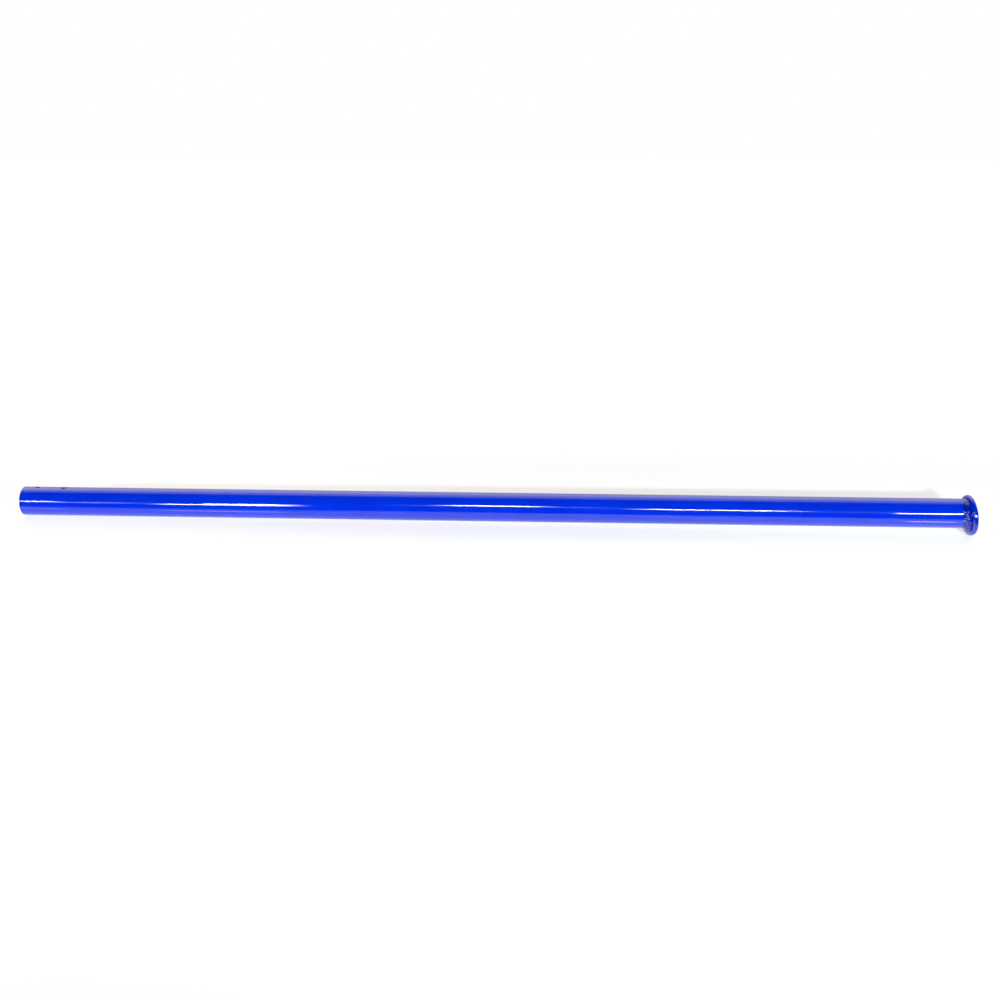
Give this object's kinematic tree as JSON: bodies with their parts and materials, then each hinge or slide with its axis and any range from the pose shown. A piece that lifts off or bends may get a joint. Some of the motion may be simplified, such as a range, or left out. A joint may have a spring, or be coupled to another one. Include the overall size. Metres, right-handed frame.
{
  "type": "sway bar",
  "caption": "Straight round steel tube with cross holes near its open end and a thick round plate welded on the other end, gloss powder coated.",
  "frame": {"origin": "where the tube's axis meets the end plate's outer face", "axes": "+X along the tube from its open end towards the plate, +Z along the cross holes"},
  "size_m": [1.0442, 0.044, 0.0441],
  "materials": {
    "tube_powder_coat": "gloss",
    "plate_powder_coat": "gloss",
    "weld_powder_coat": "gloss"
  },
  "bodies": {
    "root": {"bar_tube": "tube_powder_coat", "end_plate": "plate_powder_coat", "plate_weld": "weld_powder_coat"}
  },
  "joints": []
}
